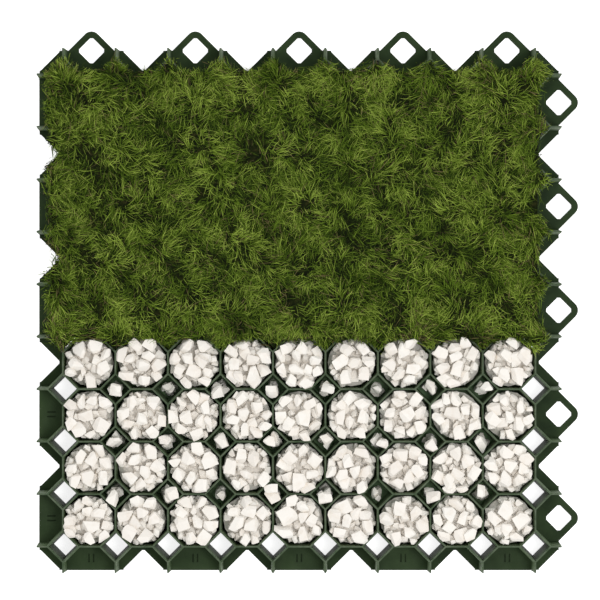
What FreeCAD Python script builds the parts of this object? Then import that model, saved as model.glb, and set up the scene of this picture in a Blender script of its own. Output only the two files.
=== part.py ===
# Grass paver grid: a moulded tile of octagon cells, part filled with turf and part with crushed stone
import FreeCAD, Part
import math
import os
import random

# Driving dimensions in millimetres, and counts
DIMENSIONS = {
    "pitch": (50, "spacing of the octagon cells"),
    "cell_count": (9, "octagon cells along one edge"),
    "height": (40, "ground to rim"),
    "floor_plate": (3, "thickness of the floor, the edge plates and the loops"),
    "rim_wall": (1.4, "thickness of a cell wall at the rim"),
    "foot_wall": (4.6, "thickness of a cell wall at the floor"),
    "drain_reach": (19, "half diagonal of the drain in the floor of a cell"),
    "notch_reach": (20.3, "half diagonal of an edge notch before its corners are clipped"),
    "notch_clip": (1.2, "what is clipped off each corner of a notch"),
    "loop_reach": (22.1, "half diagonal of a loop before rounding"),
    "loop_round": (8.7, "outer corner radius of a loop"),
    "hole_reach": (13.6, "half diagonal of a loop's hole before its corners are clipped"),
    "hole_clip": (1.5, "what is clipped off each corner of that hole"),
    "joint_clearance": (0.4, "room round a loop in the socket of the next tile"),
    "tongue_width": (3, "width of the tongue that bends in a socket"),
    "groove_width": (1.4, "width of the groove on each side of the tongue"),
    "groove_depth": (2, "depth of a groove"),
    "groove_length": (8, "length of a groove"),
    "groove_setback": (7.8, "tile edge to the near end of a groove"),
    "peg_length": (3, "length of the peg under a tongue, along the tongue"),
    "fill_clearance": (0.4, "room between the filling and the moulding"),
    "turf_rows": (5, "rows of cells under turf"),
    "turf_height": (12, "depth of the grass above the rim"),
    "turf_left": (12, "tile edge to turf, on the left"),
    "turf_right": (22, "tile edge to turf, on the right"),
    "turf_top": (20, "tile edge to turf, at the top"),
    "turf_lap": (9, "turf past the wall below its last row"),
    "tuft_half": (12, "half the width of a tuft over an edge diamond"),
    "turf_lean": (4, "how far the turf's sides lean in over its depth"),
    "heap_drop": (6, "rim down to the bed that the top chips of a heap lie in"),
    "chip_length": (16, "longest side of a stone chip"),
    "chip_width": (12, "middle side of a stone chip"),
    "chip_thickness": (9, "shortest side of a stone chip"),
    "loose_share": (0.5, "size of a loose chip against one in a heap"),
}

# Half widths of a cell and of a diamond, wall to wall, and the heights of the socket over a loop
CELL_MOUTH = "(sizes.pitch - sizes.rim_wall) / 2"
CELL_FOOT = "(sizes.pitch - sizes.foot_wall) / 2"
CELL_DEPTH = "(sizes.height - sizes.floor_plate)"
DIAMOND_MOUTH = "(sizes.pitch * (sqrt(2) - 1) - sizes.rim_wall) / 2"
DIAMOND_FOOT = "(sizes.pitch * (sqrt(2) - 1) - sizes.foot_wall) / 2"
SEAT_TOP = "(sizes.floor_plate + sizes.joint_clearance)"
SOCKET_TOP = "(2 * sizes.floor_plate + sizes.joint_clearance)"
LOOP_TIP = "(sizes.loop_reach - sizes.loop_round * (sqrt(2) - 1))"

# Stone: how many kinds of heap, chips on each, their greatest tilt in degrees and the seed
HEAP_KINDS = 5
HEAP_CHIPS = 4
TIP = 16
SEED = 11

doc = FreeCAD.newDocument("grass_paver_grid")
sizes = doc.addObject("Spreadsheet::Sheet", "sizes")
for row, (alias, (value, note)) in enumerate(DIMENSIONS.items(), start=1):
    sizes.set(f"A{row}", note)
    sizes.set(f"B{row}", str(value))
    sizes.setAlias(f"B{row}", alias)
doc.recompute()


def size(alias):
    return float(sizes.get(alias))


def tie(item, expressions):
    for name, expression in expressions.items():
        item.setExpression(name, expression)


def diamond_prism(name, reach, low, high, rounding=None):
    """A square prism with its corners on the axes; reach is centre to corner, before rounding"""
    outline = doc.addObject("Part::RegularPolygon", f"{name}_outline")
    outline.Polygon = 4
    profile = outline
    if rounding is None:
        tie(outline, {"Circumradius": reach})
    else:
        tie(outline, {"Circumradius": f"{reach} - {rounding} * sqrt(2)"})
        profile = doc.addObject("Part::Offset2D", f"{name}_profile")
        profile.Source = outline
        tie(profile, {"Value": rounding})
    solid = doc.addObject("Part::Extrusion", name)
    solid.Base = profile
    solid.DirMode = "Custom"
    solid.Dir = FreeCAD.Vector(0, 0, 1)
    solid.Solid = True
    tie(solid, {"LengthFwd": f"({high}) - ({low})", "Placement.Base.z": low})
    return solid


def clipped_prism(name, reach, clip, low, high):
    """A diamond prism that loses the tip of each corner"""
    whole = diamond_prism(f"{name}_whole", reach, low, high)
    kept = f"({reach} - {clip})"
    limit = box(f"{name}_limit", (f"-{kept}", f"-{kept}", low), (kept, kept, high))
    return join("MultiCommon", name, [whole, limit])


def drafted_square(name, foot, mouth, turn=0):
    """A square block with sloping sides on the tile's axis; an end is its height and half its width"""
    solid = doc.addObject("Part::Wedge", name)
    upright = FreeCAD.Rotation(FreeCAD.Vector(1, 0, 0), 90)
    solid.Placement.Rotation = FreeCAD.Rotation(FreeCAD.Vector(0, 0, 1), turn).multiply(upright)
    tie(solid, {"Ymin": foot[0], "Xmin": f"-({foot[1]})", "Xmax": foot[1], "Zmin": f"-({foot[1]})",
                "Zmax": foot[1], "Ymax": mouth[0], "X2min": f"-({mouth[1]})", "X2max": mouth[1],
                "Z2min": f"-({mouth[1]})", "Z2max": mouth[1]})
    return solid


def drafted_octagon(name, foot, mouth):
    """Two drafted squares, one turned by half a right angle, have an octagon in common"""
    flat = drafted_square(f"{name}_flat", foot, mouth)
    aslant = drafted_square(f"{name}_aslant", foot, mouth, turn=45)
    return join("MultiCommon", name, [flat, aslant])


def box(name, low, high):
    """A box between two corners given as expressions"""
    solid = doc.addObject("Part::Box", name)
    for side, axis, start, stop in zip(("Length", "Width", "Height"), "xyz", low, high):
        tie(solid, {side: f"({stop}) - ({start})", f"Placement.Base.{axis}": start})
    return solid


def join(kind, name, pieces):
    """A boolean of the document: Cut takes its first piece and cuts the second from it"""
    result = doc.addObject(f"Part::{kind}", name)
    if kind == "Cut":
        result.Base, result.Tool = pieces
    else:
        result.Shapes = pieces
    result.Refine = True
    return result


def spread(name, groups):
    """One object with copies of seeds; a group is a seed, its places on the ground and a turn in degrees"""
    copies = []
    for seed, places, turn in groups:
        for x, y in places:
            copy = seed.Shape.copy()
            copy.rotate(FreeCAD.Vector(0, 0, 0), FreeCAD.Vector(0, 0, 1), turn)
            copy.translate(FreeCAD.Vector(x, y, 0))
            copies.append(copy)
    field = doc.addObject("Part::Feature", name)
    field.Shape = Part.makeCompound(copies)
    return field


def grid_of(columns, rows):
    return [(x, y) for x in columns for y in rows]


def centre_on_box(node):
    """Moves a node so that the middle of the whole tile, loops and all, is over the origin"""
    tie(node, {f"Placement.Base.{axis}": f"-{LOOP_TIP} / 2" for axis in "xy"})


# Places along an edge: the cells, the diamonds between them, and the clips and notches on every second cell
pitch = size("pitch")
cell_count = int(size("cell_count"))
half_tile = pitch * (cell_count + 1) / 2
cells = [pitch * (index - (cell_count - 1) / 2) for index in range(cell_count)]
diamonds = [pitch * (index - cell_count / 2) for index in range(cell_count + 1)]
edges = [-half_tile, half_tile]
clips = cells[0::2]
notches = cells[1::2]

# The tile's block, as wide as all its cells and half a cell more on each side
HALF_TILE = "sizes.pitch * (sizes.cell_count + 1) / 2"
block = box("block", (f"-({HALF_TILE})", f"-({HALF_TILE})", "0"), (HALF_TILE, HALF_TILE, "sizes.height"))

# A loop is a rounded diamond with a straight-sided root at the tile's edge, pointing along X
LOOP_TOP = "sizes.floor_plate"
loop_tip = diamond_prism("loop_tip", "sizes.loop_reach", "0", LOOP_TOP, rounding="sizes.loop_round")
ROOT_DEPTH = "sizes.loop_round / sqrt(2)"
ROOT_BACK = "(sizes.loop_reach + sizes.floor_plate)"
ROOT_FRONT = f"(sizes.loop_reach - {ROOT_DEPTH})"
loop_root = doc.addObject("Part::Wedge", "loop_root")
loop_root.Placement.Rotation = FreeCAD.Rotation(FreeCAD.Vector(0, 0, 1), -90)
tie(loop_root, {"Ymin": "-sizes.floor_plate", "Xmin": f"-{ROOT_BACK}", "Xmax": ROOT_BACK,
                "Ymax": ROOT_DEPTH, "X2min": f"-{ROOT_FRONT}", "X2max": ROOT_FRONT,
                "Zmin": "0", "Z2min": "0", "Zmax": LOOP_TOP, "Z2max": LOOP_TOP})
loop = join("MultiFuse", "loop", [loop_tip, loop_root])

# What is cut from the edges: notches, loop holes, and the sockets that sit over the loops of the next tile
PAST_GROUND = "-sizes.floor_plate"
PAST_RIM = "sizes.height + sizes.floor_plate"
notch = clipped_prism("notch", "sizes.notch_reach", "sizes.notch_clip", PAST_GROUND, PAST_RIM)
hole = clipped_prism("hole", "sizes.hole_reach", "sizes.hole_clip", PAST_GROUND, PAST_RIM)
ROOM_REACH = "(sizes.loop_reach + sizes.joint_clearance * sqrt(2))"
room = diamond_prism("room", ROOM_REACH, PAST_GROUND, SEAT_TOP)
PEG_END = "(sizes.hole_reach - sizes.hole_clip - sizes.joint_clearance)"
TONGUE_SIDE = "sizes.tongue_width / 2"
GROOVE_SIDE = "(sizes.tongue_width / 2 + sizes.groove_width)"
GROOVE_END = "sizes.groove_setback + sizes.groove_length"
GROOVE_TOP = f"{SOCKET_TOP} + sizes.joint_clearance"
peg = box("peg", (f"{PEG_END} - sizes.peg_length", f"-{TONGUE_SIDE}", "sizes.joint_clearance"),
          (PEG_END, TONGUE_SIDE, SOCKET_TOP))
room_round_peg = join("Cut", "room_round_peg", [room, peg])
grooves = [box(f"groove_{name}", ("sizes.groove_setback", low, f"{SOCKET_TOP} - sizes.groove_depth"),
               (GROOVE_END, high, GROOVE_TOP))
           for name, low, high in (("left", f"-{GROOVE_SIDE}", f"-{TONGUE_SIDE}"),
                                   ("right", TONGUE_SIDE, GROOVE_SIDE))]
socket = join("MultiFuse", "socket", [room_round_peg] + grooves)

# What is cut from the top: octagon cells with a drain through the floor, and the diamond cells
cell = drafted_octagon("cell", ("sizes.floor_plate", CELL_FOOT), ("sizes.height", CELL_MOUTH))
drain = diamond_prism("drain", "sizes.drain_reach", PAST_GROUND, "sizes.floor_plate")
drained_cell = join("MultiFuse", "drained_cell", [cell, drain])
CELL_DRAFT = f"(({CELL_MOUTH} - {CELL_FOOT}) / {CELL_DEPTH})"
SOCKET_FOOT = f"({CELL_FOOT} + {CELL_DRAFT} * ({SOCKET_TOP} - sizes.floor_plate))"
socket_cell = drafted_octagon("socket_cell", (SOCKET_TOP, SOCKET_FOOT), ("sizes.height", CELL_MOUTH))
diamond_rim = ("sizes.height", DIAMOND_MOUTH)
diamond = drafted_square("diamond", ("sizes.floor_plate", DIAMOND_FOOT), diamond_rim, turn=45)

# The diamonds along the edges go right through the floor with the same draft
OPEN_FOOT = f"({DIAMOND_FOOT} - {CELL_DRAFT} * 2 * sizes.floor_plate)"
open_diamond = drafted_square("open_diamond", (PAST_GROUND, OPEN_FOOT), diamond_rim, turn=45)

# What fills the cells: turf with plugs in the cells and tufts over edge diamonds, and a bed of stone
TURF_BASE = "(sizes.height + sizes.fill_clearance)"
TURF_LEFT = f"({HALF_TILE} - sizes.turf_left)"
TURF_RIGHT = f"({HALF_TILE} - sizes.turf_right)"
TURF_TOP = f"({HALF_TILE} - sizes.turf_top)"
TURF_END = f"({HALF_TILE} - sizes.pitch * (sizes.turf_rows + 1 / 2) - sizes.turf_lap)"
sod = doc.addObject("Part::Wedge", "sod")
sod.Placement = FreeCAD.Placement(FreeCAD.Vector(), FreeCAD.Rotation(FreeCAD.Vector(1, 0, 0), 90))
tie(sod, {"Xmin": f"-{TURF_LEFT}", "Xmax": TURF_RIGHT, "Zmin": f"-{TURF_TOP}", "Zmax": f"-{TURF_END}",
          "X2min": f"-{TURF_LEFT} + sizes.turf_lean", "X2max": f"{TURF_RIGHT} - sizes.turf_lean",
          "Z2min": f"-{TURF_TOP} + sizes.turf_lean", "Z2max": f"-{TURF_END} - sizes.turf_lean",
          "Ymin": "0", "Ymax": "sizes.turf_height", "Placement.Base.z": TURF_BASE})
tuft = drafted_square("tuft", (TURF_BASE, "sizes.tuft_half"),
                      (f"{TURF_BASE} + sizes.turf_height", "sizes.tuft_half - sizes.turf_lean"), turn=45)
plug = drafted_octagon("plug", ("sizes.floor_plate", f"{CELL_FOOT} - sizes.fill_clearance"),
                       (TURF_BASE, f"{CELL_MOUTH} - sizes.fill_clearance"))
BED_HALF = f"({CELL_MOUTH} - {CELL_DRAFT} * sizes.heap_drop - sizes.fill_clearance)"
bed = drafted_octagon("bed", ("sizes.floor_plate", f"{CELL_FOOT} - sizes.fill_clearance"),
                      ("sizes.height - sizes.heap_drop", BED_HALF))
doc.recompute()

# The outermost ring of cells is only half on the tile, and leaves the stub walls of the edge
right_clips = grid_of([half_tile], clips)
top_clips = grid_of(clips, [half_tile])
left_sockets = grid_of([-half_tile], clips)
bottom_sockets = grid_of(clips, [-half_tile])
notch_places = grid_of(edges, notches) + grid_of(notches, edges) + grid_of(edges, edges)
outer_diamonds = [diamonds[0], diamonds[-1]]
inner_diamonds = diamonds[1:-1]
edge_diamonds = grid_of(diamonds, outer_diamonds) + grid_of(outer_diamonds, inner_diamonds)

loops = spread("loops", [(loop, right_clips, 0), (loop, top_clips, 90)])
edge_cuts = spread("edge_cuts", [(notch, notch_places, 0), (hole, right_clips + top_clips, 0),
                                 (socket, left_sockets, 0), (socket, bottom_sockets, 90)])
cavities = spread("cavities", [(drained_cell, grid_of(cells, cells), 0),
                               (cell, notch_places + right_clips + top_clips, 0),
                               (socket_cell, left_sockets + bottom_sockets, 0),
                               (diamond, grid_of(inner_diamonds, inner_diamonds), 0),
                               (open_diamond, edge_diamonds, 0)])
looped_block = join("MultiFuse", "looped_block", [block, loops])
edged_block = join("Cut", "edged_block", [looped_block, edge_cuts])
grid = join("Cut", "paver_grid", [edged_block, cavities])
grid.Label = "paver_grid"

# Turf: a layer of grass over the upper rows, with its tufts and a plug of soil down into each cell
turf_rows = int(size("turf_rows"))
plugs = spread("plugs", [(plug, grid_of(cells, cells[-turf_rows:]), 0)])
tuft_places = grid_of(diamonds, diamonds[-1:]) + grid_of(outer_diamonds, diamonds[-1 - turf_rows:-1])
tufts = spread("tufts", [(tuft, tuft_places, 0)])
turf = join("MultiFuse", "turf", [sod, tufts, plugs])
turf.Label = "turf"


def wall_apothem(level):
    """Half the width of a cell at a height above the ground"""
    rise = (level - size("floor_plate")) / (size("height") - size("floor_plate"))
    wall = size("foot_wall") + (size("rim_wall") - size("foot_wall")) * rise
    return (pitch - wall) / 2


def turned(shape, degrees, axis=(0, 0, 1)):
    shape.rotate(FreeCAD.Vector(0, 0, 0), FreeCAD.Vector(*axis), degrees)
    return shape


def stone_chip(rng, share=1.0):
    """An angular chip, base down on the ground at the origin"""
    length = size("chip_length") * share * rng.uniform(0.75, 1.0)
    width = size("chip_width") * share * rng.uniform(0.75, 1.0)
    thickness = size("chip_thickness") * share * rng.uniform(0.8, 1.0)
    top_length = length * rng.uniform(0.35, 0.75)
    top_width = width * rng.uniform(0.35, 0.75)
    shift = (length - top_length) * rng.uniform(-0.4, 0.4)
    chip = Part.makeWedge(-length / 2, 0, -width / 2, -top_width / 2, shift - top_length / 2,
                          length / 2, thickness, width / 2, top_width / 2, shift + top_length / 2)
    return turned(chip, 90, axis=(1, 0, 0))


def stone_heap(rng):
    """The stone of one cell: a bed that fills it, with angular chips standing out of the top"""
    bed_top = size("height") - size("heap_drop")
    chip_span = math.hypot(size("chip_length"), size("chip_width")) / 2
    reach = wall_apothem(bed_top) - size("fill_clearance") - chip_span
    chips = []
    for index in range(HEAP_CHIPS):
        chip = turned(stone_chip(rng), rng.uniform(-TIP, TIP), axis=(1, 0, 0))
        turned(chip, rng.uniform(0, 360))
        sink = size("chip_thickness") * rng.uniform(0.25, 0.4)
        out = reach if index else 0
        chip.translate(FreeCAD.Vector(out, 0, bed_top - sink))
        chips.append(turned(chip, 360 * index / (HEAP_CHIPS - 1)))
    return bed.Shape.multiFuse(chips).removeSplitter()


# Crushed stone in the lower rows: a few kinds of heap, turned and repeated
rng = random.Random(SEED)
heap_kinds = [stone_heap(rng) for _ in range(HEAP_KINDS)]
stone_rows = cells[:-turf_rows]
heaps = []
for index, (x, y) in enumerate(grid_of(cells, stone_rows)):
    heap = turned(heap_kinds[index % HEAP_KINDS].copy(), 45 * rng.randrange(8))
    heap.translate(FreeCAD.Vector(x, y, 0))
    heaps.extend(heap.Solids)
stone_fill = doc.addObject("Part::Feature", "stone_fill")
stone_fill.Label = "stone_fill"
stone_fill.Shape = Part.makeCompound(heaps)

# Chips that lie on the floor of the diamond cells between those rows
loose = []
chip_spot = (pitch * (math.sqrt(2) - 1) - size("foot_wall")) / 4
for x, y in grid_of(inner_diamonds, inner_diamonds[: len(stone_rows) - 1]):
    turn = rng.uniform(0, 360)
    for side in (-1, 1)[: rng.choice((1, 2, 2))]:
        chip = turned(stone_chip(rng, size("loose_share")), 90 + rng.uniform(-TIP, TIP))
        chip.translate(FreeCAD.Vector(side * chip_spot, 0, size("floor_plate")))
        turned(chip, turn).translate(FreeCAD.Vector(x, y, 0))
        loose.append(chip)
loose_chips = doc.addObject("Part::Feature", "loose_chips")
loose_chips.Label = "loose_chips"
loose_chips.Shape = Part.makeCompound(loose)

nodes = [grid, turf, stone_fill, loose_chips]
for node in nodes:
    centre_on_box(node)
doc.recompute()

failed = [item.Name for item in doc.Objects if "Invalid" in item.State or "Error" in item.State]
if failed:
    raise RuntimeError(f"not rebuilt: {failed}")
for node in nodes:
    if node.Shape.isNull() or not node.Shape.isValid():
        raise RuntimeError(f"bad shape: {node.Label}")

os.makedirs("parts", exist_ok=True)
for node in nodes:
    node.Shape.exportStep(f"parts/{node.Label}.step")
    extent = node.Shape.BoundBox
    print(node.Label, len(node.Shape.Solids), "solids", round(node.Shape.Volume / 1000, 1), "cm3", extent)
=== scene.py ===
import math

import bpy
import numpy as np
from mathutils import Euler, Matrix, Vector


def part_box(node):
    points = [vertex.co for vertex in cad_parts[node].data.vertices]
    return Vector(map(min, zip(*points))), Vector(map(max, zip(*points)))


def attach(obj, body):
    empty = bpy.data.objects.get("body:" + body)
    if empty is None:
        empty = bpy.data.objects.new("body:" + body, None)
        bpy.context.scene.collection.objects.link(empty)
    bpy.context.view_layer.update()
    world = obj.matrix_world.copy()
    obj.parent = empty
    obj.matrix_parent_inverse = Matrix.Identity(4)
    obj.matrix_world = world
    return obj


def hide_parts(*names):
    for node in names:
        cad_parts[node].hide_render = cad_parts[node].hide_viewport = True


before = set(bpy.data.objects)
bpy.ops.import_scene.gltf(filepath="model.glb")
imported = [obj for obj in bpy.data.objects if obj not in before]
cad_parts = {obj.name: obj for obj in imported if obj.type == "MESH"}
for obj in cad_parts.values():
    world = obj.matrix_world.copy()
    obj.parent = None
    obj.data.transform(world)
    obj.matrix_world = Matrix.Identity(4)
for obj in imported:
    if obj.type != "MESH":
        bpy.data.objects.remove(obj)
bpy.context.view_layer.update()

rng = np.random.default_rng(7)

# the tile's own middle lies left of and below the middle of the whole box
tile = {"half": 0.25, "pitch": 0.05, "count": 9, "turfRows": 5, "rim": 0.04, "floor": 0.003}
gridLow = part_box("paver_grid")[0]
middle = np.array([gridLow.x + tile["half"], gridLow.y + tile["half"]])
halfway = tile["pitch"] / 2
steps = (np.arange(tile["count"]) - tile["count"] // 2) * tile["pitch"]
columns = middle[0] + steps
rows = middle[1] - steps
turfRows = rows[:tile["turfRows"]]
stoneRows = rows[tile["turfRows"]:]


def deselectAll():
    bpy.ops.object.select_all(action="DESELECT")


def pieceFromArrays(name, points, triangles):
    mesh = bpy.data.meshes.new(name)
    mesh.from_pydata(points.tolist(), [], triangles.tolist())
    mesh.update()
    piece = bpy.data.objects.new(name, mesh)
    bpy.context.scene.collection.objects.link(piece)
    return piece


def arraysFromMesh(mesh):
    mesh.calc_loop_triangles()
    points = np.array([vertex.co for vertex in mesh.vertices])
    triangles = np.array([triangle.vertices for triangle in mesh.loop_triangles])
    return points, triangles


def addNumbers(piece, name, values):
    piece.data.attributes.new(name, "FLOAT", "POINT").data.foreach_set("value", values)


def addColours(piece, name, values):
    opaque = np.concatenate([values, np.ones((len(values), 1))], axis=1)
    piece.data.attributes.new(name, "FLOAT_COLOR", "POINT").data.foreach_set("color", opaque.ravel())


def finishPiece(piece, material, node):
    piece.data.materials.clear()
    piece.data.materials.append(material)
    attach(piece, "root")
    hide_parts(node)


def newMaterial(name, roughness, gloss):
    material = bpy.data.materials.new(name)
    material.use_nodes = True
    tree = material.node_tree
    shader = tree.nodes["Principled BSDF"]
    shader.inputs["Roughness"].default_value = roughness
    shader.inputs["Specular IOR Level"].default_value = gloss
    return material, tree, shader


def noiseAt(tree, scale, detail):
    place = tree.nodes.new("ShaderNodeTexCoord")
    noise = tree.nodes.new("ShaderNodeTexNoise")
    noise.inputs["Scale"].default_value = scale
    noise.inputs["Detail"].default_value = detail
    tree.links.new(place.outputs["Object"], noise.inputs["Vector"])
    return noise.outputs["Fac"]


def attributeOf(tree, name):
    attribute = tree.nodes.new("ShaderNodeAttribute")
    attribute.attribute_name = name
    return attribute


def rampOf(tree, source, stops):
    ramp = tree.nodes.new("ShaderNodeValToRGB")
    elements = ramp.color_ramp.elements
    while len(elements) < len(stops):
        elements.new(0.5)
    for element, (position, colour) in zip(elements, stops):
        element.position = position
        element.color = (*colour, 1)
    tree.links.new(source, ramp.inputs["Fac"])
    return ramp.outputs["Color"]


def mathOf(tree, operation, first, second):
    working = tree.nodes.new("ShaderNodeMath")
    working.operation = operation
    for socket, value in zip(working.inputs, (first, second)):
        if isinstance(value, float):
            socket.default_value = value
        else:
            tree.links.new(value, socket)
    return working.outputs["Value"]


def blendOf(tree, mode, amount, first, second):
    blend = tree.nodes.new("ShaderNodeMix")
    blend.data_type = "RGBA"
    blend.blend_type = mode
    if isinstance(amount, float):
        blend.inputs[0].default_value = amount
    else:
        tree.links.new(amount, blend.inputs[0])
    tree.links.new(first, blend.inputs[6])
    tree.links.new(second, blend.inputs[7])
    return blend.outputs[2]


def bumpFrom(tree, source, shader, strength, distance):
    bump = tree.nodes.new("ShaderNodeBump")
    bump.inputs["Strength"].default_value = strength
    bump.inputs["Distance"].default_value = distance
    tree.links.new(source, bump.inputs["Height"])
    tree.links.new(bump.outputs["Normal"], shader.inputs["Normal"])


# green plastic, paler on the inner floors, coloured paler up the walls as painted light against their
# shade, and scuffed paler along the rims with a painted highlight
plasticLook = {
    "bare": [(0.3, (0.011, 0.026, 0.006)), (0.7, (0.026, 0.050, 0.015))],
    "paleFloor": [(0.3, (0.16, 0.27, 0.13)), (0.75, (0.24, 0.36, 0.19))],
    "paleFloorReach": 0.205,  # out from the tile's middle
    # painted light: a paler colour up the walls that offsets their shade
    "paintedWallLight": [(0.3, (0.070, 0.115, 0.048)), (0.75, (0.140, 0.195, 0.105))],
    "paintedWallLightRise": (0.004, 0.026),
    # scuff and painted highlight: a paler band along the rims
    "scuffAndHighlight": [(0.3, (0.045, 0.075, 0.036)), (0.75, (0.120, 0.150, 0.098))],
    "scuffAndHighlightRise": (tile["rim"] - 0.0012, tile["rim"] - 0.0002),
}
plastic, tree, shader = newMaterial("greenPlastic", roughness=0.6, gloss=0.15)
place = tree.nodes.new("ShaderNodeTexCoord")
split = tree.nodes.new("ShaderNodeSeparateXYZ")
tree.links.new(place.outputs["Object"], split.inputs["Vector"])
aside = [mathOf(tree, "ABSOLUTE", mathOf(tree, "SUBTRACT", split.outputs[axis], float(centre)), 0.0)
         for axis, centre in zip("XY", middle)]
within = mathOf(tree, "LESS_THAN", mathOf(tree, "MAXIMUM", *aside), plasticLook["paleFloorReach"])
aboveFeet = mathOf(tree, "GREATER_THAN", split.outputs["Z"], tile["floor"] / 2)
onPaleFloor = mathOf(tree, "MULTIPLY", within, aboveFeet)
bare = rampOf(tree, noiseAt(tree, scale=55, detail=4), plasticLook["bare"])
# the inner floors, above the feet, get a paler colour than the bare plastic
paleFloor = rampOf(tree, noiseAt(tree, scale=70, detail=3), plasticLook["paleFloor"])
# painted light on the walls, blended in from near the floor up towards the rims
paintedWallLight = rampOf(tree, noiseAt(tree, scale=90, detail=4), plasticLook["paintedWallLight"])
# scuffed rims with a painted highlight along the top edges
scuffAndHighlight = rampOf(tree, noiseAt(tree, scale=160, detail=3), plasticLook["scuffAndHighlight"])
colour = blendOf(tree, "MIX", onPaleFloor, bare, paleFloor)
for paintedLightAndScuff, (low, high) in ((paintedWallLight, plasticLook["paintedWallLightRise"]), (scuffAndHighlight, plasticLook["scuffAndHighlightRise"])):
    climb = tree.nodes.new("ShaderNodeMapRange")
    climb.inputs["From Min"].default_value = low
    climb.inputs["From Max"].default_value = high
    tree.links.new(split.outputs["Z"], climb.inputs["Value"])
    colour = blendOf(tree, "MIX", climb.outputs["Result"], colour, paintedLightAndScuff)
tree.links.new(colour, shader.inputs["Base Color"])
bumpFrom(tree, noiseAt(tree, scale=900, detail=2), shader, strength=0.12, distance=0.0003)
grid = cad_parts["paver_grid"]
grid.data.materials.clear()
grid.data.materials.append(plastic)
print("plastic done")

# crushed stone: a tone per chip, warm stains and a chalky grain
stoneLook = {
    "tones": [(0.0, (0.89, 0.84, 0.77)), (0.3, (0.93, 0.885, 0.82)), (1.0, (0.95, 0.915, 0.855))],
    "stain": [(0.36, (0.84, 0.75, 0.66)), (0.5, (1.0, 1.0, 1.0))],
    "stained": 0.2,
}
stone, tree, shader = newMaterial("paleStone", roughness=0.85, gloss=0.25)
body = rampOf(tree, attributeOf(tree, "tone").outputs["Fac"], stoneLook["tones"])
stain = rampOf(tree, noiseAt(tree, scale=130, detail=5), stoneLook["stain"])
colour = blendOf(tree, "MULTIPLY", stoneLook["stained"], body, stain)
tree.links.new(colour, shader.inputs["Base Color"])
bumpFrom(tree, noiseAt(tree, scale=420, detail=6), shader, strength=0.3, distance=0.0007)

# chip kinds, each a cube knocked to facets
chipKinds = {"count": 16, "block": 1.7, "cuts": 13, "nearest": 0.55, "farthest": 0.92, "leastFacet": 1e-4,
             "width": (0.62, 0.95), "fullTurn": 6.283}


def modelChip():
    deselectAll()
    bpy.ops.mesh.primitive_cube_add(size=chipKinds["block"])
    chip = bpy.context.object
    bpy.ops.object.mode_set(mode="EDIT")
    for cut in range(chipKinds["cuts"]):
        facing = rng.normal(size=3)
        facing /= np.linalg.norm(facing)
        spot = facing * rng.uniform(chipKinds["nearest"], chipKinds["farthest"])
        bpy.ops.mesh.select_all(action="SELECT")
        bpy.ops.mesh.bisect(plane_co=spot, plane_no=facing, use_fill=True, clear_outer=True)
    bpy.ops.object.mode_set(mode="OBJECT")
    points, triangles = arraysFromMesh(chip.data)
    facets = [face for face in chip.data.polygons if face.area > chipKinds["leastFacet"]]
    kind = {
        "points": points,
        "triangles": triangles,
        "normals": np.array([face.normal for face in facets]),
        "offsets": np.array([face.normal.dot(face.center) for face in facets]),
    }
    bpy.data.objects.remove(chip)
    return kind


kinds = [modelChip() for number in range(chipKinds["count"])]
print("chip kinds done", sum(len(kind["triangles"]) for kind in kinds) / len(kinds), "triangles each")


# where a chip let go over a height map comes to rest
def settle(ground, axis, kind, stretch, turn, spot):
    points = (kind["points"] * stretch) @ turn.T
    points[:, :2] += spot
    normals = (kind["normals"] / stretch) @ turn.T
    offsets = kind["offsets"] + normals[:, :2] @ spot
    first = np.searchsorted(axis, points[:, :2].min(axis=0))
    last = np.searchsorted(axis, points[:, :2].max(axis=0))
    window = (slice(first[0], last[0]), slice(first[1], last[1]))
    across = axis[window[0], None, None]
    along = axis[None, window[1], None]
    levels = (offsets - normals[:, 0] * across - normals[:, 1] * along) / normals[:, 2]
    facingUp = normals[:, 2] > 0
    top = levels[..., facingUp].min(axis=2)
    under = levels[..., ~facingUp].max(axis=2)
    covered = top > under
    patch = ground[window]
    lift = (patch - under)[covered].max()
    points[:, 2] += lift
    raised = np.where(covered, np.maximum(patch, top + lift), patch)
    return points, window, raised


# each chip takes the lowest of a few random places where it fits
def dropChips(ground, axis, fits, plan):
    chips = []
    for number in range(plan["chips"]):
        best = None
        for attempt in range(plan["tries"]):
            kind = kinds[rng.integers(len(kinds))]
            length = rng.uniform(*plan["length"]) / 2
            stretch = length * np.array([1, rng.uniform(*chipKinds["width"]), rng.uniform(*plan["flat"])])
            tilt = rng.normal(0, plan["tilt"], 2)
            turn = np.array(Euler((*tilt, rng.uniform(0, chipKinds["fullTurn"]))).to_matrix())
            spot = rng.uniform(-plan["spread"], plan["spread"], 2)
            points, window, raised = settle(ground, axis, kind, stretch, turn, spot)
            if not fits(points) or points[:, 2].max() > plan["ceiling"]:
                continue
            level = points[:, 2].mean()
            if best is None or level < best[0]:
                best = (level, points, window, raised, kind)
        if best is not None:
            level, points, window, raised, kind = best
            ground[window] = raised
            chips.append((points, kind["triangles"], rng.random()))
    return chips


def pieceFromChips(name, chips, node):
    counts = [len(points) for points, triangles, tone in chips]
    starts = np.concatenate([[0], np.cumsum(counts)[:-1]])
    points = np.concatenate([chip[0] for chip in chips])
    triangles = np.concatenate([chip[1] + start for chip, start in zip(chips, starts)])
    piece = pieceFromArrays(name, points, triangles)
    addNumbers(piece, "tone", np.repeat([chip[2] for chip in chips], counts))
    finishPiece(piece, stone, node)
    print(name, len(chips), "chips", len(triangles), "triangles")


def mapAxis(reach, step):
    return np.arange(-reach, reach + step / 5, step)


# how far out a place lies in its octagon, measured square to the sides
def octagonReach(x, y):
    return np.maximum.reduce([np.abs(x), np.abs(y), (np.abs(x) + np.abs(y)) / math.sqrt(2)])


def fitsOctagon(wall):
    return lambda points: octagonReach(points[:, 0], points[:, 1]).max() < wall


def fitsDiamond(wall):
    return lambda points: (np.abs(points[:, 0]) + np.abs(points[:, 1])).max() < wall


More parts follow.
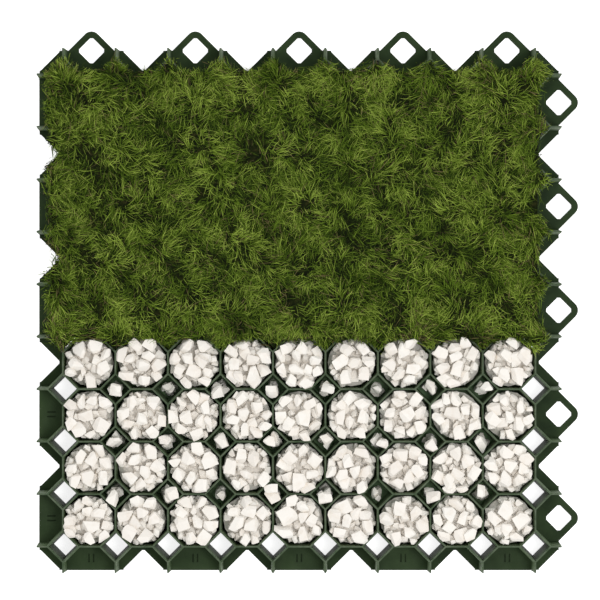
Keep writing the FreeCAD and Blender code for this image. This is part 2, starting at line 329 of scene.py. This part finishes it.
# heaps of chips on a low mound in each octagon cell, small ones first and then the larger ones seen on top
heap = {"wall": 0.0238, "moundTop": 0.0326, "moundEdge": 0.0256, "rimGap": 0.0004, "reach": 0.026,
        "step": 0.0006}
heapStages = [
    {"chips": 46, "tries": 14, "length": (0.008, 0.014), "flat": (0.45, 0.7), "tilt": 0.35,
     "spread": 0.0215, "ceiling": 0.0415, "wall": 0.0238},
    {"chips": 36, "tries": 24, "length": (0.014, 0.024), "flat": (0.36, 0.56), "tilt": 0.25,
     "spread": 0.0215, "ceiling": 0.0485, "wall": 0.0249},
]
heapAxis = mapAxis(heap["reach"], heap["step"])
outward = np.hypot(heapAxis[:, None], heapAxis[None, :]) / heap["wall"]
mound = heap["moundEdge"] + (heap["moundTop"] - heap["moundEdge"]) * np.clip(1 - outward ** 2, 0, 1)
overRim = octagonReach(*np.meshgrid(heapAxis, heapAxis)) > heap["wall"] + heap["rimGap"]
mound[overRim] = tile["rim"]

# the mound under the chips is one drum with a crowned top, copied to every stone cell of a row
drumShape = {"sides": 16, "radius": 0.0226, "depth": 0.0222, "centre": 0.0143, "tone": 0.15,
             "crown": ((0.005, 0.0040), (0.005, 0.0020), (0.005, 0.0009))}
deselectAll()
bpy.ops.mesh.primitive_cylinder_add(vertices=drumShape["sides"], radius=drumShape["radius"],
                                    depth=drumShape["depth"], location=(0, 0, drumShape["centre"]))
drum = bpy.context.object
bpy.ops.object.transform_apply(location=True, rotation=False, scale=False)
bpy.ops.object.mode_set(mode="EDIT")
bpy.ops.mesh.select_all(action="DESELECT")
bpy.ops.object.mode_set(mode="OBJECT")
for face in drum.data.polygons:
    face.select = face.normal.z > 0.9
bpy.ops.object.mode_set(mode="EDIT")
for inset, rise in drumShape["crown"]:
    bpy.ops.mesh.inset(thickness=inset)
    bpy.ops.transform.translate(value=(0, 0, rise))
bpy.ops.object.mode_set(mode="OBJECT")
drumPoints, drumTriangles = arraysFromMesh(drum.data)
bpy.data.objects.remove(drum)

for rowNumber, y in enumerate(stoneRows, start=1):
    chips = []
    for x in columns:
        here = np.array([x, y, 0])
        chips.append((drumPoints + here, drumTriangles, drumShape["tone"]))
        ground = mound.copy()
        for stage in heapStages:
            for points, triangles, tone in dropChips(ground, heapAxis, fitsOctagon(stage["wall"]), stage):
                chips.append((points + here, triangles, tone))
    pieceFromChips(f"stoneRow{rowNumber}", chips, "stone_fill")

# chips that fell into the diamonds between the stone rows: small ones below, larger ones up to the rim
diamond = {"wall": 0.0128, "reach": 0.020, "step": 0.0005}
spillStages = [
    {"chips": (8, 24), "tries": 8, "length": (0.0095, 0.0135), "flat": (0.5, 0.8), "tilt": 0.4,
     "spread": 0.007, "ceiling": 0.036, "wall": 0.0112},
    {"chips": (1, 4), "tries": 5, "length": (0.013, 0.020), "flat": (0.45, 0.75), "tilt": 0.3,
     "spread": 0.009, "ceiling": 0.048, "wall": 0.0165},
]
spillAxis = mapAxis(diamond["reach"], diamond["step"])
fromDiamond = np.abs(spillAxis[:, None]) + np.abs(spillAxis[None, :])
emptyDiamond = np.where(fromDiamond < diamond["wall"], tile["floor"], tile["rim"])
chips = []
for y in (stoneRows[:-1] + stoneRows[1:]) / 2:
    for x in (columns[:-1] + columns[1:]) / 2:
        here = np.array([x, y, 0])
        ground = emptyDiamond.copy()
        for stage in spillStages:
            plan = dict(stage, chips=int(rng.integers(*stage["chips"])))
            for points, triangles, tone in dropChips(ground, spillAxis, fitsDiamond(stage["wall"]), plan):
                chips.append((points + here, triangles, tone))
pieceFromChips("spilledChips", chips, "loose_chips")

# soil and thatch, almost black under the grass
earth = [(0.3, (0.003, 0.005, 0.001)), (0.55, (0.010, 0.014, 0.002)), (0.75, (0.032, 0.031, 0.008))]
thatch, tree, shader = newMaterial("thatch", roughness=0.9, gloss=0.1)
tree.links.new(rampOf(tree, noiseAt(tree, scale=220, detail=6), earth), shader.inputs["Base Color"])
bumpFrom(tree, noiseAt(tree, scale=500, detail=5), shader, strength=0.8, distance=0.002)

# diamonds that hold turf: along the top, down both sides, and between the turf and the first stone row
turfEdge = {"edgeTuft": 0.0178, "innerTuft": 0.0135, "notch": 0.0203}
between = steps[:-1] + halfway
edgeLine = tile["half"] - halfway
tuftSpots = np.array([[x, edgeLine] for x in (-edgeLine, *between, edgeLine)]
                     + [[side * edgeLine, y - middle[1] - halfway] for side in (-1, 1) for y in turfRows]
                     + [[x, -halfway] for x in between])
onEdge = np.abs(tuftSpots).max(axis=1) > edgeLine - 0.001
tuftReach = np.where(onEdge, turfEdge["edgeTuft"], turfEdge["innerTuft"])
notchSpots = np.array([[-tile["half"], y] for y in steps[1::2]])

# a lumpy mat of thatch over the rims, cut out at the notches
mat = {"left": -0.236, "right": 0.2265, "top": 0.2265, "bottom": -0.0262, "level": 0.0412,
       "across": 185, "along": 101, "lumps": 0.003, "lumpReach": 0.035, "grain": 0.0012,
       "notchGap": 0.001, "thick": 0.0008}
deselectAll()
bpy.ops.mesh.primitive_grid_add(x_subdivisions=mat["across"], y_subdivisions=mat["along"], size=1)
sod = bpy.context.object
sod.name = "thatchMat"
sod.scale = (mat["right"] - mat["left"], mat["top"] - mat["bottom"], 1)
sod.location = (middle[0] + (mat["right"] + mat["left"]) / 2,
                middle[1] + (mat["top"] + mat["bottom"]) / 2,
                mat["level"])
bpy.ops.object.transform_apply(location=True, rotation=False, scale=True)
flat = np.array([vertex.co for vertex in sod.data.vertices])
toNotch = np.abs(flat[:, None, :2] - middle - notchSpots).sum(axis=2).min(axis=1)
overNotch = toNotch < turfEdge["notch"] + mat["notchGap"]
bpy.ops.object.mode_set(mode="EDIT")
bpy.ops.mesh.select_mode(type="VERT")
bpy.ops.mesh.select_all(action="DESELECT")
bpy.ops.object.mode_set(mode="OBJECT")
for vertex, over in zip(sod.data.vertices, overNotch):
    vertex.select = bool(over)
bpy.ops.object.mode_set(mode="EDIT")
bpy.ops.mesh.delete(type="VERT")
bpy.ops.object.mode_set(mode="OBJECT")
flat = flat[~overNotch]
fromCell = [np.mod(flat[:, axis] - middle[axis] + halfway, tile["pitch"]) - halfway for axis in (0, 1)]
lumps = mat["lumps"] * (1 - np.hypot(*fromCell) / mat["lumpReach"])
flat[:, 2] += lumps + rng.uniform(0, mat["grain"], len(flat))
sod.data.vertices.foreach_set("co", flat.ravel())
sod.data.update()
thicken = sod.modifiers.new("thickness", "SOLIDIFY")
thicken.thickness = mat["thick"]
thicken.offset = 1
bpy.ops.object.modifier_apply(modifier=thicken.name)
finishPiece(sod, thatch, "turf")

# a plug of soil in every turf cell
plug = {"sides": 8, "foot": 0.0228, "mouth": 0.0235, "base": 0.0032, "top": 0.0405, "round": 0.0012}
flatToCorner = math.cos(math.pi / plug["sides"])
deselectAll()
bpy.ops.mesh.primitive_cone_add(vertices=plug["sides"], radius1=plug["foot"] / flatToCorner,
                                radius2=plug["mouth"] / flatToCorner, depth=plug["top"] - plug["base"],
                                location=(columns[0], turfRows[-1], (plug["top"] + plug["base"]) / 2),
                                rotation=(0, 0, math.pi / plug["sides"]))
plugs = bpy.context.object
plugs.name = "soilPlugs"
bpy.ops.object.mode_set(mode="EDIT")
bpy.ops.mesh.bevel(offset=plug["round"], segments=2)
bpy.ops.object.mode_set(mode="OBJECT")
bpy.ops.object.transform_apply(location=True, rotation=True, scale=True)
for axis, count in ((0, tile["count"]), (1, tile["turfRows"])):
    repeat = plugs.modifiers.new("repeat", "ARRAY")
    repeat.count = count
    repeat.use_relative_offset = False
    repeat.use_constant_offset = True
    spacing = [0, 0, 0]
    spacing[axis] = tile["pitch"]
    repeat.constant_offset_displace = spacing
    bpy.ops.object.modifier_apply(modifier=repeat.name)
finishPiece(plugs, thatch, "turf")

# a wad of roots in every diamond that holds turf
wad = {"sides": 4, "foot": 0.0122, "mouth": 0.008, "base": 0.030, "top": 0.0445, "round": 0.002}
deselectAll()
wads = []
for spot in tuftSpots:
    bpy.ops.mesh.primitive_cone_add(vertices=wad["sides"], radius1=wad["foot"], radius2=wad["mouth"],
                                    depth=wad["top"] - wad["base"],
                                    location=(*(middle + spot), (wad["top"] + wad["base"]) / 2))
    wads.append(bpy.context.object)
for each in wads:
    each.select_set(True)
bpy.ops.object.join()
tuftFeet = bpy.context.object
tuftFeet.name = "tuftFeet"
bpy.ops.object.mode_set(mode="EDIT")
bpy.ops.mesh.select_all(action="SELECT")
bpy.ops.mesh.bevel(offset=wad["round"], segments=2)
bpy.ops.object.mode_set(mode="OBJECT")
bpy.ops.object.transform_apply(location=True, rotation=True, scale=True)
finishPiece(tuftFeet, thatch, "turf")
print("thatch and soil done")

# grass in tufts that lean out from the middle of each cell
blade, tree, shader = newMaterial("grassBlade", roughness=0.65, gloss=0.12)
tree.links.new(attributeOf(tree, "tint").outputs["Color"], shader.inputs["Base Color"])
grass = {
    "left": -0.2415, "right": 0.2285, "top": 0.2285, "bottom": -0.0285,
    "rootLevel": 0.0418, "highest": 0.0605, "margin": 0.002,
    "heartStray": 0.008, "clump": 0.03,  # clumps about their hearts
    "swirl": 2, "outward": 0.55, "stray": 0.7,  # the way the tufts head
    "patchLight": 0.3, "rimShade": 0.15, "tuftShade": 0.15, "bladeShade": 0.3,  # light and shade
    "wallShade": 0.28, "wallBand": 0.007,  # darker over the walls between the rows
    "edgeBrown": 5, "edgeBand": 0.008, "patchBrown": 4,  # dry blades at the edge and in patches
    "withered": (0.3, 1), "lengths": (0.6, 1.1),  # shares of the straw colour and of the tuft's length
    "upright": math.radians(80), "droop": 0.75, "wobble": 0.15, "bend": (0.3, 2.0), "curl": 0.5,
    "roll": 0.5,
    "rag": 0.0018, "drawIn": 0.6,  # raggedness of the turf's edge
}


# how far a place is past the turf's edge, less than nothing inside
def pastEdge(spots):
    x, y = spots.T
    sheet = np.maximum.reduce([x - grass["right"], grass["left"] - x,
                               y - grass["top"], grass["bottom"] - y])
    tufts = np.min([np.abs(spots - spot).sum(axis=1) - reach
                    for spot, reach in zip(tuftSpots, tuftReach)], axis=0)
    notches = np.max([turfEdge["notch"] - np.abs(spots - spot).sum(axis=1) for spot in notchSpots], axis=0)
    return np.maximum(np.minimum(sheet, tufts), notches)


# clump hearts near the middle of each cell and, twice as dense, over the diamonds at the edge
hearts = np.array([[x - middle[0], y - middle[1]] for y in turfRows for x in columns])
hearts = np.concatenate([hearts + rng.normal(0, grass["heartStray"], hearts.shape), tuftSpots, tuftSpots])


# slow random waves over the turf, for the way the blades lie and for paler and browner patches
def newWaves(shortest, longest, count=7):
    rate = 2 * math.pi / rng.uniform(shortest, longest, count)
    turn = rng.uniform(0, 2 * math.pi, count)
    return np.stack([rate * np.cos(turn), rate * np.sin(turn), rng.uniform(0, 2 * math.pi, count)])


def waveAt(spots, waves):
    return np.sin(spots @ waves[:2] + waves[2]).sum(axis=1) / math.sqrt(waves.shape[1] / 2)


lie = newWaves(0.04, 0.11)
pale = newWaves(0.025, 0.09)
brown = newWaves(0.03, 0.08)


# tufts: some anywhere in the turf, the rest gathered about the hearts
def placeTufts(layer):
    free = int(layer["tufts"] * layer["free"])
    anywhere = np.stack([rng.uniform(grass["left"], grass["right"], free),
                         rng.uniform(grass["bottom"], grass["top"], free)], axis=1)
    gathered = hearts[rng.integers(len(hearts), size=layer["tufts"] - free)]
    gathered = gathered + rng.normal(0, layer["gather"], gathered.shape)
    spots = np.concatenate([anywhere, gathered])
    past = pastEdge(spots)
    kept = past < -grass["margin"]
    spots = spots[kept]
    past = past[kept]
    count = len(spots)
    gaps = spots[:, None, :] - hearts[None]
    distances = np.hypot(gaps[..., 0], gaps[..., 1])
    away = gaps[np.arange(count), distances.argmin(axis=1)]
    distance = distances.min(axis=1)
    outOfClump = distance / grass["clump"]
    flow = grass["swirl"] * waveAt(spots, lie)
    push = grass["outward"] * away / distance[:, None]
    heading = np.arctan2(np.sin(flow) + push[:, 1], np.cos(flow) + push[:, 0])
    heading = heading + rng.normal(0, grass["stray"], count)
    lean = np.clip(0.5 + outOfClump, 0.5, 1) * rng.uniform(*layer["lean"], count)
    size = rng.uniform(*layer["length"], count)
    light = layer["light"] + grass["patchLight"] * waveAt(spots, pale) - grass["rimShade"] * outOfClump
    light = light + rng.normal(0, grass["tuftShade"], count)
    fromWall = np.mod(spots[:, 1], tile["pitch"]) - halfway
    light -= grass["wallShade"] * np.exp(-(fromWall / grass["wallBand"]) ** 2)
    atEdge = grass["edgeBrown"] * np.exp(past / grass["edgeBand"])
    inPatch = grass["patchBrown"] * np.clip(waveAt(spots, brown) - 0.5, 0, 2)
    browning = layer["dry"] * (1 + atEdge + inPatch)
    return {"spots": spots, "heading": heading, "lean": lean, "size": size, "light": light,
            "browning": browning}


# blades: a bent spine out from the root, drawn in where it would pass the turf's ragged edge
def shapeBlades(layer, tufts, owner):
    levels = layer["levels"]
    count = len(owner)
    root = tufts["spots"][owner] + rng.normal(0, layer["bunch"], (count, 2))
    azimuth = tufts["heading"][owner] + rng.normal(0, layer["fan"], count)
    facing = np.stack([np.cos(azimuth), np.sin(azimuth)], axis=1)
    lean = tufts["lean"][owner]
    length = tufts["size"][owner] * rng.uniform(*grass["lengths"], count)
    start = grass["upright"] - grass["droop"] * lean + rng.normal(0, grass["wobble"], count)
    bend = rng.uniform(*grass["bend"], count) * (0.4 + 0.6 * lean)
    curl = rng.normal(0, grass["curl"], count)
    out = np.zeros((levels, count))
    up = np.zeros((levels, count))
    for level in range(1, levels):
        slope = start - bend * (level - 0.5) / (levels - 1)
        out[level] = out[level - 1] + np.cos(slope) * length / (levels - 1)
        up[level] = up[level - 1] + np.sin(slope) * length / (levels - 1)
    up *= np.minimum(1, (grass["highest"] - grass["rootLevel"]) / np.maximum(up.max(axis=0), 0.001))
    rag = rng.exponential(grass["rag"], count)
    for attempt in range(4):
        out[:, pastEdge(root + facing * out[-1][:, None]) > rag] *= grass["drawIn"]

    # two edges along the spine that meet at the tip
    roll = rng.normal(0, grass["roll"], count)
    across = np.stack([-facing[:, 1], facing[:, 0]], axis=1)
    side = np.concatenate([across * np.cos(roll)[:, None], np.sin(roll)[:, None]], axis=1)
    side *= rng.uniform(*layer["width"], (count, 1)) / 2
    sweep = curl * out ** 2 / np.maximum(2 * out[-1], 0.001)
    corners = 2 * levels - 1
    points = np.zeros((count, corners, 3))
    for corner in range(corners):
        level = corner // 2
        spine = facing * out[level][:, None] + across * sweep[level][:, None]
        points[:, corner, :2] = middle + root + spine
        points[:, corner, 2] = grass["rootLevel"] + up[level]
        if corner < corners - 1:
            points[:, corner] += side * (1 if corner % 2 else -1) * (1 - (level / (levels - 1)) ** 2)
    pattern = [[corners - 3, corners - 2, corners - 1]]
    for base in range(0, corners - 3, 2):
        pattern += [[base, base + 1, base + 3], [base, base + 3, base + 2]]
    triangles = np.array(pattern)[None] + (np.arange(count) * corners)[:, None, None]
    return points.reshape(-1, 3), triangles.reshape(-1, 3)


straw = np.array([0.40, 0.33, 0.13])
# painted shade: the near-black colour at the foot of every blade
paintedRootShade = np.array([0.005, 0.006, 0.001])
# the dark greens are painted shade low in the turf, and the pale and lime greens painted light on the
# crown and tips
darkGreen = np.array([0.004, 0.009, 0.001])
shadedGreen = np.array([0.0215, 0.041, 0.002])
midGreen = np.array([0.075, 0.137, 0.0075])
paleGreen = np.array([0.224, 0.346, 0.029])
limeGreen = np.array([0.60, 0.72, 0.15])


# tints: dark at the root as painted shade, greenest halfway, palest at the tip as painted light, and a few
# blades dry
def tintBlades(layer, tufts, owner):
    count = len(owner)
    light = tufts["light"][owner] + rng.normal(0, grass["bladeShade"], count)
    shade = np.clip(light, 0, 1)[:, None, None]
    dry = (rng.random(count) < tufts["browning"][owner])[:, None, None]
    withered = straw * rng.uniform(*grass["withered"], (count, 1, 1))
    leaf = np.where(dry, 0.5 * withered, layer["deep"] + (layer["leaf"] - layer["deep"]) * shade)
    tip = np.where(dry, withered, layer["leaf"] + (layer["tip"] - layer["leaf"]) * shade)
    levels = layer["levels"]
    along = (np.arange(2 * levels - 1) // 2 / (levels - 1))[None, :, None]
    lower = paintedRootShade + (leaf - paintedRootShade) * along * 2
    upper = leaf + (tip - leaf) * (along * 2 - 1)
    return np.where(along < 0.5, lower, upper).reshape(-1, 3)


def growLayer(layer):
    tufts = placeTufts(layer)
    owner = np.repeat(np.arange(len(tufts["spots"])), layer["blades"])
    points, triangles = shapeBlades(layer, tufts, owner)
    piece = pieceFromArrays(layer["name"], points, triangles)
    addColours(piece, "tint", tintBlades(layer, tufts, owner))
    finishPiece(piece, blade, "turf")
    print(layer["name"], len(owner), "blades", len(triangles), "triangles")


# from the dark blades below, in painted shade, to the bright crown in painted light, with a few dry stems
# over all
growLayer({"name": "grassUnder", "tufts": 5600, "blades": 9, "levels": 3, "free": 0.85, "gather": 0.008,
           "bunch": 0.002, "fan": 0.9, "lean": (0.8, 1.3), "length": (0.008, 0.017),
           "width": (0.0006, 0.0009), "light": 0.45, "dry": 0.03,
           "deep": darkGreen, "leaf": shadedGreen, "tip": midGreen})
growLayer({"name": "grassBody", "tufts": 4300, "blades": 9, "levels": 3, "free": 0.75, "gather": 0.010,
           "bunch": 0.0028, "fan": 0.7, "lean": (0.6, 1.2), "length": (0.009, 0.020),
           "width": (0.0005, 0.0009), "light": 0.55, "dry": 0.02,
           "deep": shadedGreen, "leaf": midGreen, "tip": paleGreen})
growLayer({"name": "grassCrown", "tufts": 3600, "blades": 9, "levels": 4, "free": 0.6, "gather": 0.012,
           "bunch": 0.0024, "fan": 0.4, "lean": (0.6, 1.2), "length": (0.010, 0.022),
           "width": (0.0005, 0.0009), "light": 0.66, "dry": 0.014,
           "deep": midGreen, "leaf": paleGreen, "tip": limeGreen})
growLayer({"name": "grassStems", "tufts": 420, "blades": 1, "levels": 4, "free": 1.0, "gather": 0.010,
           "bunch": 0.002, "fan": 1.5, "lean": (0.7, 1.2), "length": (0.018, 0.034),
           "width": (0.0004, 0.0006), "light": 0.8, "dry": 1.0,
           "deep": midGreen, "leaf": paleGreen, "tip": limeGreen})


# one where a ray comes from the camera or by way of a mirror or glass, nothing elsewhere
def seenDirectly(tree):
    rays = tree.nodes.new("ShaderNodeLightPath")
    seen = rays.outputs["Is Camera Ray"]
    for ray in ("Is Glossy Ray", "Is Transmission Ray"):
        seen = mathOf(tree, "MAXIMUM", seen, rays.outputs[ray])
    return seen


# pale floor that stays white to the camera and keeps a faint shadow
studio = {"floorSize": 8, "floorLevel": -0.0003, "paper": (0.8, 0.8, 0.8, 1), "paperGlow": 0.8,
          "sky": 0.80, "skySeen": 1.0, "lampPlace": (0.6, -0.25, 2.3), "lampTurn": (0.108, 0.254, 0),
          "lampSize": 0.6, "lampPower": 15}
deselectAll()
bpy.ops.mesh.primitive_plane_add(size=studio["floorSize"], location=(0, 0, studio["floorLevel"]))
floor = bpy.context.object
floor.name = "floor"
paper = bpy.data.materials.new("paper")
paper.use_nodes = True
tree = paper.node_tree
tree.nodes.clear()
output = tree.nodes.new("ShaderNodeOutputMaterial")
matt = tree.nodes.new("ShaderNodeBsdfDiffuse")
matt.inputs["Color"].default_value = studio["paper"]
glow = tree.nodes.new("ShaderNodeEmission")
together = tree.nodes.new("ShaderNodeAddShader")
tree.links.new(mathOf(tree, "MULTIPLY", seenDirectly(tree), studio["paperGlow"]), glow.inputs["Strength"])
tree.links.new(matt.outputs["BSDF"], together.inputs[0])
tree.links.new(glow.outputs["Emission"], together.inputs[1])
tree.links.new(together.outputs["Shader"], output.inputs["Surface"])
floor.data.materials.append(paper)

# soft studio light from above
sky = bpy.data.worlds.new("studio")
sky.use_nodes = True
tree = sky.node_tree
background = tree.nodes["Background"]
background.inputs["Color"].default_value = (1, 1, 1, 1)
brightness = tree.nodes.new("ShaderNodeMapRange")
brightness.inputs["To Min"].default_value = studio["sky"]
brightness.inputs["To Max"].default_value = studio["skySeen"]
tree.links.new(seenDirectly(tree), brightness.inputs["Value"])
tree.links.new(brightness.outputs["Result"], background.inputs["Strength"])
bpy.context.scene.world = sky
bpy.ops.object.light_add(type="AREA", location=studio["lampPlace"], rotation=studio["lampTurn"])
lamp = bpy.context.object
lamp.data.shape = "SQUARE"
lamp.data.size = studio["lampSize"]
lamp.data.energy = studio["lampPower"]

# camera straight above, a little off the tile's middle
view = {"right": 0.0008, "up": 0.0099, "height": 3.2, "lens": 199.2, "sensor": 36}
bpy.ops.object.camera_add(location=(middle[0] + view["right"], middle[1] + view["up"], view["height"]),
                          rotation=(0, 0, 0))
camera = bpy.context.object
camera.data.lens = view["lens"]
camera.data.sensor_width = view["sensor"]
bpy.context.scene.camera = camera
bpy.context.scene.view_settings.view_transform = "Standard"
print("floor, light and camera done")
